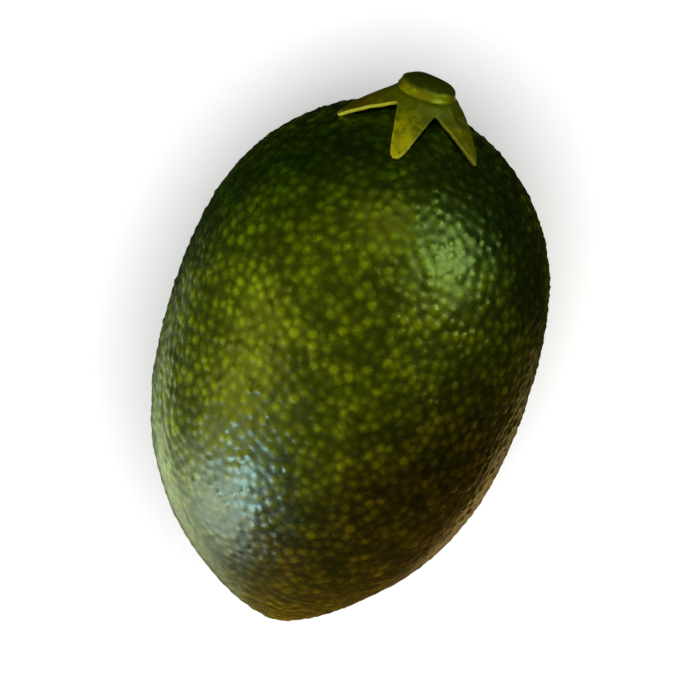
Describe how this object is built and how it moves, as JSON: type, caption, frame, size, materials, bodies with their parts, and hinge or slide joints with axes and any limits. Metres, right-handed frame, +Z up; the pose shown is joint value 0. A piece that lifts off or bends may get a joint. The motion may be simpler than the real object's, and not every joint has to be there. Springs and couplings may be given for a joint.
{
  "type": "limequat",
  "caption": "Whole green limequat lying on its side: oval pebbled citrus fruit with a star-shaped calyx and a clipped stem stub at one end.",
  "frame": {"origin": "on the surface that the fruit rests on, below the middle of the whole object's bounding box", "axes": "+Z up; +Y along the fruit's length, from its tip to its stem end; +X across the fruit"},
  "size_m": [0.0264, 0.0418, 0.0263],
  "materials": {
    "rind": "waxy dark green citrus rind, glossy and finely pebbled, with paler oil glands",
    "calyx": "dull olive to yellow-green sepals, browned at their ends",
    "stem": "green twig bark with a darker, drying cut end"
  },
  "bodies": {
    "root": {"fruit": "rind", "calyx": "calyx", "stem_stub": "stem"}
  },
  "joints": []
}
